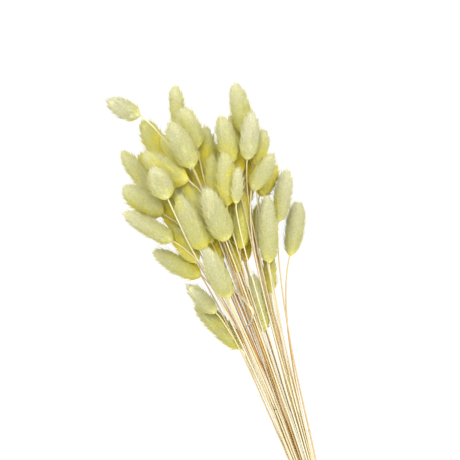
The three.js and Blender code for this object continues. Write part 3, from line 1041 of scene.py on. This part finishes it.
@dataclass
class FluffyHead:
    """A seed head: a soft core, and silk that grows from it in loose tufts, one from each spikelet."""

    node: str
    seed: int
    tuft_area: float = 9.5 * MM**2
    tuft_hairs: int = 20
    tuft_awns: int = 4
    tuft_length: float = 6.0 * MM
    tuft_stand: tuple[float, float] = (0.3 * MM, 2.4 * MM)
    spread: float = 2.5 * MM
    silk_width: float = 0.17 * MM
    awn_width: float = 0.24 * MM
    core_share: float = 0.84
    root_depth: tuple[float, float] = (0.72, 0.84)
    raised: float = 1.0
    onward: float = 1.0
    gathered: float = 0.75
    silk_flatness: float = 1.3
    long_reach: tuple[float, float] = (1.5, 2.3)
    short_reach: tuple[float, float] = (1.0, 1.45)
    unlike: float = 0.08
    tip_paleness: float = 0.35
    # Painted shade: the tone of hairs on a head's flanks and underside is lowered towards mustard, less for
    # awns.
    flank_shade_paint: float = 0.35
    awn_shade_paint: float = 0.1

    def __post_init__(self) -> None:
        """Reads the head's form off its CAD node and starts its seeded draws."""
        self.form = HeadForm.measured(self.node)
        self.random = np.random.default_rng(self.seed)
        area = WHOLE_TURN * self.form.radius * self.form.length * 0.8
        self.tufts = int(area / self.tuft_area)
        self.roots()

    def roots(self) -> None:
        """Spreads the tufts evenly over the head: places up the axis by its girth, a golden angle apart."""
        grid = np.linspace(-0.02, 0.93, 200)
        share = np.cumsum(self.form.reach(grid) + 0.12 * self.form.radius)
        share = (share - share[0]) / (share[-1] - share[0])
        number = np.arange(self.tufts)
        place = (number + self.random.uniform(-2, 2, self.tufts)) / self.tufts
        self.root_t = np.interp(np.clip(place, 0, 1), share, grid)
        self.angle = number * GOLDEN_ANGLE + self.random.uniform(-0.35, 0.35, self.tufts)
        self.tone = self.random.normal(0, 0.05, self.tufts)
        self.lean = self.random.normal(0, 0.2, self.tufts)
        reached = self.tuft_length * self.random.uniform(0.8, 1.2, self.tufts) / self.form.length
        self.point_t = np.minimum(self.root_t + reached, self.random.uniform(0.98, 1.05, self.tufts))
        self.stand = self.random.uniform(*self.tuft_stand, self.tufts)
        # Tufts that end nearer the head's tip are paler.
        self.tone += self.tip_paleness * (np.clip(self.point_t, 0, 1) - 0.5)

    def out(self, t: np.ndarray, share: np.ndarray | float) -> np.ndarray:
        """A distance from the axis, as a share of the reach, which stays a little open at the tip."""
        return share * np.maximum(self.form.reach(t), 0.1 * self.form.radius)

    def core(self) -> Skin:
        """The dense middle: the outline at a share of its reach, with faint ridges that wind up it.

        Returns:
            The core's skin.
        """
        t, angle = np.meshgrid(np.linspace(0.015, 0.985, 17), np.arange(20) / 20 * WHOLE_TURN, indexing="ij")
        ridge = 1 + 0.02 * np.cos(7 * angle + 14 * t) + 0.02 * np.cos(5 * angle - 23 * t)
        rings = self.form.place(t, angle, self.out(t, self.core_share * ridge))
        ends = self.form.centre(np.array([0.0, 0.99]))
        skin = closed_rings(rings, ends[0], ends[1])
        return skin.with_value("along", 0.6).with_value("tone", self.tone.mean())

    def facing(self, t: np.ndarray, angle: np.ndarray) -> np.ndarray:
        """The direction square to the outline: out from the axis, less the axis times the reach's slope.

        Args:
            t: shares of the axis.
            angle: the angle round it at each.

        Returns:
            A direction for each.
        """
        slope = (self.form.reach(t + 0.01) - self.form.reach(t - 0.01)) / (0.02 * self.form.length)
        axis = unit(self.form.tip - self.form.foot)
        outward = self.form.place(t, angle, np.ones(len(t))) - self.form.centre(t)
        return unit(outward - np.clip(slope, -2, 2)[:, None] * axis)

    def hairs(
        self, which: np.ndarray, up: np.ndarray, aside: np.ndarray, share: np.ndarray, width: np.ndarray
    ) -> Skin:
        """Fine straight hairs that grow round the middle of their tufts, towards the tufts' points. Those on
        the head's flanks and underside are given a lower, more mustard tone: a painted shade.

        Args:
            which: the tuft of each hair.
            up: its root's distance from the tuft's middle up the axis.
            aside: the same round the axis.
            share: how far it reaches towards its tuft's point, or past it if over 1.
            width: its usual half width at the root.

        Returns:
            The hairs, as spikes of four triangles.
        """
        draw = self.random
        number = len(which)
        root_t = np.clip(self.root_t[which] + up / self.form.length, 0.0, 0.97)
        root_out = self.out(root_t, draw.uniform(*self.root_depth, number))
        turn = aside / np.maximum(root_out, 2 * MM)
        root_angle = self.angle[which] + turn
        point_t = np.maximum(self.point_t[which], root_t + 0.02)
        point_out = self.out(point_t, 1.0) + self.stand[which]
        tip_t = root_t + share * (point_t - root_t)
        tip_out = root_out + share * (point_out - root_out)
        roots = self.form.place(root_t, root_angle, root_out)
        tips = self.form.place(tip_t, self.angle[which] + (1 - self.gathered * share) * turn, tip_out)
        bend = self.lean[which] + 0.2 * aside / self.spread + draw.normal(0, 0.3, number)
        outward = self.facing(root_t, root_angle + bend)
        tone = self.tone[which] + draw.normal(0, self.unlike, number)
        # Painted shade on the flanks and underside.
        flank = 1 - np.clip(self.facing(root_t, root_angle)[:, 2], 0, 1)
        tone -= np.where(share < 1, self.flank_shade_paint, self.awn_shade_paint) * flank**2
        widths = (width * draw.uniform(0.7, 1.2, number))[:, None]
        raised = unit(outward + self.onward * unit(tips - roots) + [0.0, 0.0, self.raised])
        skin = spikes(np.stack([roots, tips], axis=1), widths, self.silk_flatness, raised)
        return skin.with_value("tone", np.repeat(tone, 4))

    def silk(self) -> Skin:
        """Each tuft's hairs, which end over the upper half of its cone, and most of them near its point.

        Returns:
            The hairs.
        """
        number = self.tufts * self.tuft_hairs
        which = np.repeat(np.arange(self.tufts), self.tuft_hairs)
        up, aside = self.random.normal(0, self.spread, (2, number))
        share = 1 - 0.5 * self.random.uniform(0, 1, number) ** 2
        return self.hairs(which, up, aside, share, np.full(number, self.silk_width))

    def awns(self) -> Skin:
        """Longer bristles in each tuft, which pass its point: one of them fine and about twice as long.

        Returns:
            The bristles.
        """
        number = self.tuft_awns * self.tufts
        which = np.repeat(np.arange(self.tufts), self.tuft_awns)
        up, aside = self.random.normal(0, 0.4 * self.spread, (2, number))
        is_long = np.arange(number) % self.tuft_awns == 0
        long = self.random.uniform(*self.long_reach, number)
        share = np.where(is_long, long, self.random.uniform(*self.short_reach, number))
        return self.hairs(which, up, aside, share, self.awn_width * np.where(is_long, 0.6, 1.0))

    def build(self, finish: bpy.types.Material) -> bpy.types.Object:
        """Makes the head and puts it in the place of its CAD node.

        Args:
            finish: the silk's material.

        Returns:
            The head.
        """
        skin = Skin.together([self.core(), self.silk(), self.awns()])
        skin.points = off_the_table(skin.points)
        piece = make_piece(f"fluffy_{self.node}", skin, finish)
        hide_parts(self.node)
        return piece


@dataclass
class HeadCluster:
    """All the heads. Silk deep in the bunch, under or close to other heads or under stems, is given a more
    mustard tone as painted shade, and open silk is pale.
    """

    nodes: list[str]
    straws: list[Straw]
    around: float = 19 * MM
    near: float = 7 * MM
    # The tone that open silk is raised by, and the painted shade that each kind of cover takes off it.
    unshaded_lift: float = 0.95
    covered_shade_paint: float = 0.2
    sheltered_shade_paint: float = 0.65
    crossed_shade_paint: float = 0.11
    beside: float = 0.35
    unlike: float = 0.06

    def covered(self, forms: list[HeadForm]) -> np.ndarray:
        """How much lies over each head: the sum of exp(-(d / around) squared) over all heads above it.

        Args:
            forms: the forms of all heads. The d between two of them is that of their middles in plan.

        Returns:
            The sum for each head.
        """
        middles = np.array([form.centre(np.array(0.5)) for form in forms])
        apart = np.linalg.norm(middles[:, None, :2] - middles[None, :, :2], axis=2)
        above = middles[None, :, 2] > middles[:, None, 2] + 3 * MM
        return (np.exp(-((apart / self.around) ** 2)) * above).sum(axis=1)

    def sheltered(self, points: np.ndarray, facing: np.ndarray, others: list[HeadForm]) -> np.ndarray:
        """How close other heads come to each point: the sum over them of exp(-(gap / near) squared), with the
        gap from the point to a head's surface. It is less for a head that is only beside the point, and for a
        point that faces away from it.

        Args:
            points: places on one head.
            facing: the direction in which each of them faces.
            others: the forms of the other heads.

        Returns:
            The sum at each point.
        """
        feet = np.array([form.foot for form in others])
        along = np.array([form.tip for form in others]) - feet
        radii = np.array([form.radius for form in others])
        apart = points[:, None] - feet
        share = np.clip(np.einsum("pfi,fi->pf", apart, along) / (along**2).sum(axis=1), 0, 1)
        nearest = apart - share[..., None] * along
        gap = np.maximum(np.linalg.norm(nearest, axis=2) - 0.8 * radii, 0)
        above = np.clip(-nearest[..., 2] / radii, 0, 1)
        toward = np.clip(0.4 - 0.8 * np.einsum("pfi,pi->pf", unit(nearest), facing), 0, 1.2)
        shade = np.exp(-((gap / self.near) ** 2)) * (self.beside + (1 - self.beside) * above) * toward
        return shade.sum(axis=1)

    def crossed(self, form: HeadForm) -> float:
        """How much stems cross a head: the length of those over it in plan, in its own lengths, to 2.

        Args:
            form: the head's form.

        Returns:
            The length, from 0 to 2.
        """
        step = 5 * MM
        stems = np.concatenate([straw.at(np.arange(0, straw.length, step)) for straw in self.straws])
        along = form.tip - form.foot
        share = np.clip((stems - form.foot)[:, :2] @ along[:2] / (along[:2] @ along[:2]), 0, 1)
        apart = stems - form.foot - share[:, None] * along
        over = (np.linalg.norm(apart[:, :2], axis=1) < form.radius) & (apart[:, 2] > 0)
        return min(2.0, np.count_nonzero(over) * step / form.length)

    def build(self, finish: bpy.types.Material) -> None:
        """Makes every head, with its tufts' tones turned towards mustard by what lies over them and close to
        them, as painted shade.

        Args:
            finish: the silk's material.
        """
        heads = [FluffyHead(node, seed=200 + number) for number, node in enumerate(self.nodes)]
        covered = self.covered([head.form for head in heads])
        for head, cover in zip(heads, covered):
            others = [other.form for other in heads if other is not head]
            points = head.form.place(head.point_t, head.angle, head.out(head.point_t, 1.0))
            facing = head.facing(head.root_t, head.angle)
            # Painted shade from heads above, heads close by and stems across.
            painted_shade = self.covered_shade_paint * cover + self.sheltered_shade_paint * self.sheltered(points, facing, others)
            painted_shade += self.crossed_shade_paint * self.crossed(head.form)
            head.tone += self.unshaded_lift - np.minimum(painted_shade, self.unshaded_lift) + head.random.normal(0, self.unlike)
            head.build(finish)


# Tie


@dataclass
class TwineTie:
    """Three turns of two-ply twine round the stems, with a knot on the upper right and two frayed ends."""

    plan: TiePlan
    turns: int = 3
    twine: float = 1.8 * MM
    inner: float = 7.9 * MM
    knot_angle: float = math.radians(52)
    lay: float = 4.4 * MM
    ends: tuple = (
        ((11, 3.5, 15.5), (14, 10, 12.5), (15.5, 18, 8.5)),
        ((10.5, -4, 16), (14.5, -9, 14), (19, -13, 9.5)),
    )
    seed: int = 7

    def __post_init__(self) -> None:
        """Starts the seeded draws and places the knot."""
        self.random = np.random.default_rng(self.seed)
        outer = self.inner + self.twine
        self.outwards = np.array([math.cos(self.knot_angle), 0.0, math.sin(self.knot_angle)])
        self.knot = np.array([0, 0, self.plan.height]) + outer * self.outwards

    def turns_path(self) -> np.ndarray:
        """A helix round the stems, one twine's width further along with each turn and flat on the table.

        Returns:
            Points along the middle of the twine.
        """
        u = np.linspace(0, 1, 160 * self.turns)
        angle = self.knot_angle + u * self.turns * WHOLE_TURN
        radius = self.inner + self.twine / 2
        path = np.stack([
            radius * np.cos(angle),
            (u - 0.5) * (self.turns - 1) * self.twine * 1.02,
            self.plan.height + radius * np.sin(angle),
        ], axis=1)
        path[:, 2] = np.maximum(path[:, 2], self.twine / 2 + 0.05 * MM)
        return path

    def knot_path(self) -> np.ndarray:
        """A trefoil: sin t + 2 sin 2t round the tie, cos t - 2 cos 2t along it and sin 3t outwards.

        Returns:
            Points along the middle of the twine.
        """
        t = np.linspace(0, WHOLE_TURN, 121)
        around = (np.sin(t) + 2 * np.sin(2 * t)) / 3 * 2.3 * MM
        along = (np.cos(t) - 2 * np.cos(2 * t)) / 3 * 2.2 * MM
        out = -np.sin(3 * t) * 0.75 * MM + 0.2 * MM
        tangent = np.array([-self.outwards[2], 0.0, self.outwards[0]])
        return (
            self.knot + around[:, None] * tangent + along[:, None] * np.array([0.0, 1.0, 0.0])
            + out[:, None] * self.outwards
        )

    def end_path(self, route: tuple) -> np.ndarray:
        """A smooth line from the knot through an end's points: a cubic through all four of them.

        Args:
            route: the three points past the knot, in millimetres.

        Returns:
            Points along the middle of the twine.
        """
        points = np.array([self.knot, *(np.array(route) * MM)])
        u = np.linspace(0, 1, 60)
        places = np.linspace(0, 1, 4)
        basis = np.array([
            np.prod([(u - places[j]) / (places[i] - places[j]) for j in range(4) if j != i], axis=0)
            for i in range(4)
        ])
        return basis.T @ points

    def laid(self, path: np.ndarray, radius: float) -> list[Skin]:
        """Two plies that wind round a path, each a tube on a helix about it.

        Args:
            path: points along the middle of the twine.
            radius: the twine's own radius.

        Returns:
            The two plies.
        """
        length = np.append(0, np.cumsum(np.linalg.norm(np.diff(path, axis=0), axis=1)))
        s = np.linspace(0, length[-1], max(24, int(length[-1] / (0.42 * MM))))
        middle = np.stack([np.interp(s, length, path[:, axis]) for axis in range(3)], axis=1)
        ahead = unit(np.gradient(middle, axis=0))
        side = unit(np.cross(ahead, NO_TWINE) + 1e-9)
        up = np.cross(side, ahead)
        plies = []
        for ply in range(2):
            turn = s / self.lay * WHOLE_TURN + ply * math.pi
            offset = 0.46 * radius * (np.cos(turn)[:, None] * side + np.sin(turn)[:, None] * up)
            skin = ply_tube(middle + offset, 0.56 * radius, sides=7)
            plies.append(skin.with_value("tone", 0.42 + 0.16 * ply))
        return plies

    def fuzz(self, path: np.ndarray, count: int, length: tuple[float, float], ahead_share: float) -> Skin:
        """Loose fibres that stand off the twine at seeded places and angles.

        Args:
            path: points along the middle of the twine.
            count: how many fibres.
            length: their least and greatest length, in millimetres.
            ahead_share: how much they lean along the twine.

        Returns:
            The fibres.
        """
        draw = self.random
        which = draw.integers(0, len(path), count)
        ahead = unit(np.gradient(path, axis=0))[which]
        away = unit(np.cross(ahead, draw.normal(0, 1, (count, 3))))
        away = unit(away + ahead_share * ahead * draw.choice([-1, 1], (count, 1)))
        roots = path[which] + 0.4 * self.twine * away
        tips = roots + away * draw.uniform(*length, (count, 1)) * MM
        skin = spikes(np.stack([roots, tips], axis=1), np.full((count, 1), 0.05 * MM))
        return skin.with_value("tone", 0.9)

    def frayed(self, path: np.ndarray, count: int = 26) -> Skin:
        """Fibres that fan out from an end of the twine.

        Args:
            path: points along the middle of the twine, to its end.
            count: how many fibres.

        Returns:
            The fibres.
        """
        draw = self.random
        ahead = unit(path[-1] - path[-4])
        directions = unit(ahead + draw.normal(0, 0.32, (count, 3)))
        roots = path[-2] + draw.normal(0, 0.25 * MM, (count, 3))
        length = draw.uniform(2.5, 5.5, (count, 1)) * MM
        middle = roots + 0.5 * length * directions
        tips = middle + 0.5 * length * unit(directions + draw.normal(0, 0.25, (count, 3)))
        paths = np.stack([roots, middle, tips], axis=1)
        return spikes(paths, np.full((count, 2), 0.09 * MM)).with_value("tone", 0.75)

    def build(self, finish: bpy.types.Material) -> bpy.types.Object:
        """Makes the tie and puts it in the place of its CAD node.

        Args:
            finish: the twine's material.

        Returns:
            The tie.
        """
        wound, knot = self.turns_path(), self.knot_path()
        tails = [self.end_path(route) for route in self.ends]
        skins = self.laid(wound, self.twine / 2) + self.laid(knot, self.twine / 2)
        for tail in tails:
            skins += self.laid(tail, 0.8 * MM)
            skins.append(self.frayed(tail))
            skins.append(self.fuzz(tail, 60, (0.6, 1.8), 0.9))
        skins.append(self.fuzz(wound, 420, (0.6, 1.9), 1.1))
        skins.append(self.fuzz(knot, 90, (0.6, 1.7), 0.8))
        skin = Skin.together(skins)
        skin.points = off_the_table(skin.points, 0.4 * MM)
        piece = make_piece("twine_tie", skin, finish)
        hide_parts("tie")
        return piece


def ply_tube(path: np.ndarray, radius: float, sides: int) -> Skin:
    """A tube whose rings turn as little as they can from one to the next, for a path of any direction.

    Args:
        path: points along the middle.
        radius: the tube's radius.
        sides: points in a ring.

    Returns:
        The closed tube.
    """
    ahead = unit(np.gradient(path, axis=0))
    start = unit(np.cross(ahead[0], NO_PLY))
    sides_out = [start]
    for direction in ahead[1:]:
        last = sides_out[-1]
        sides_out.append(unit(last - direction * (last @ direction)))
    side = np.array(sides_out)
    angles = np.arange(sides) / sides * WHOLE_TURN
    return round_skin(path, np.full(len(path), radius), side, np.cross(ahead, side), angles)


# Studio


@dataclass(frozen=True)
class PhotoView:
    """The photograph's view: straight down, turned so that the bunch leans to the left."""

    centre: tuple[float, float] = (-1.9 * MM, 301.7 * MM)
    middle_height: float = 40 * MM
    field: float = 414 * MM
    distance: float = 8.0
    lean: float = math.radians(17)
    sensor: float = 36.0

    def build(self) -> None:
        """Makes the camera, far away and with a long lens, so that heights hardly shift what they carry."""
        data = bpy.data.cameras.new("photo_camera")
        data.sensor_width = self.sensor
        data.lens = self.sensor * self.distance / self.field
        data.clip_end = 40.0
        camera = bpy.data.objects.new("photo_camera", data)
        camera.location = (*self.centre, self.middle_height + self.distance)
        camera.rotation_euler = (0.0, 0.0, -self.lean)
        bpy.context.scene.collection.objects.link(camera)
        bpy.context.scene.camera = camera


class Softness(Enum):
    """How large a lamp is, in metres across."""

    BROAD = 2.4
    MIDDLE = 1.2


@dataclass(frozen=True)
class Studio:
    """A pale floor under broad, bright and even light."""

    floor_size: float = 12.0
    floor_colours: tuple = ((0.08, 0.08, 0.08), (0.0792, 0.0792, 0.0792))
    middle: tuple = (0.0, 0.28, 0.0)
    sky: float = 1.56
    floor_glow: float = 0.95

    def floor(self) -> None:
        """Makes the floor, just under the bunch."""
        half = self.floor_size / 2
        mesh = bpy.data.meshes.new("floor")
        corners = [(-half, -half, 0.0), (half, -half, 0.0), (half, half, 0.0), (-half, half, 0.0)]
        mesh.from_pydata(corners, [], [(0, 1, 2, 3)])
        paint = Painter("pale_floor")
        cloud = paint.noise((1, 1, 1), 2.0, 3)
        colour = paint.ramp(cloud, list(zip((0.3, 0.7), self.floor_colours)))
        paint.join(colour, paint.shader.inputs["Base Color"])
        paint.set(Roughness=0.9, Specular_IOR_Level=0.1)
        paint.set(Emission_Color=(1.0, 1.0, 1.0, 1.0), Emission_Strength=self.floor_glow)
        mesh.materials.append(paint.material)
        floor = bpy.data.objects.new("floor", mesh)
        bpy.context.scene.collection.objects.link(floor)

    def lamp(self, name: str, place: tuple, power: float, softness: Softness) -> None:
        """Makes a square lamp that points at the middle of the bunch.

        Args:
            name: its name.
            place: where it hangs.
            power: its power in watts.
            softness: its size.
        """
        data = bpy.data.lights.new(name, "AREA")
        data.energy = power
        data.size = softness.value
        lamp = bpy.data.objects.new(name, data)
        lamp.location = place
        lamp.rotation_mode = "QUATERNION"
        lamp.rotation_quaternion = look_along(np.array(self.middle) - np.array(place))
        bpy.context.scene.collection.objects.link(lamp)

    def build(self) -> None:
        """Makes the floor, the lamps and the even light of the room."""
        self.floor()
        self.lamp("key_light", (-0.25, 0.8, 2.6), 26.0, Softness.MIDDLE)
        self.lamp("fill_light", (0.8, 1.4, 1.9), 22.0, Softness.BROAD)
        world = bpy.data.worlds.new("room")
        world.use_nodes = True
        background = world.node_tree.nodes["Background"]
        background.inputs["Color"].default_value = (1.0, 1.0, 1.0, 1.0)
        background.inputs["Strength"].default_value = self.sky
        bpy.context.scene.world = world
        bpy.context.scene.view_settings.view_transform = "Standard"


def look_along(direction: np.ndarray) -> tuple[float, float, float, float]:
    """The quaternion that turns -Z along a direction: half the turn about the axis square to both.

    Args:
        direction: where the lamp should point.

    Returns:
        The quaternion as w, x, y, z.
    """
    goal = direction / np.linalg.norm(direction)
    down = np.array([0.0, 0.0, -1.0])
    axis = np.cross(down, goal)
    quaternion = np.array([1 + down @ goal, *axis])
    return tuple(quaternion / np.linalg.norm(quaternion))


def main() -> None:
    """Builds the view, the studio and every piece of the bunch."""
    PhotoView().build()
    Studio().build()
    plan = TiePlan()
    straw, silk, jute = StrawFinish().make(), PlumeFinish().make(), TwineFinish().make()
    rows = [StrawRow(row, plan, seed=100 + row) for row in range(len(plan.counts))]
    for row in rows:
        row.build(straw)
    stems = [stem for row in rows for stem in row.straws]
    DeadLeaf(stems).build(straw)
    HeadCluster(sorted(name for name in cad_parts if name.startswith("head_")), stems).build(silk)
    TwineTie(plan).build(jute)


if __name__ == "__main__":
    main()
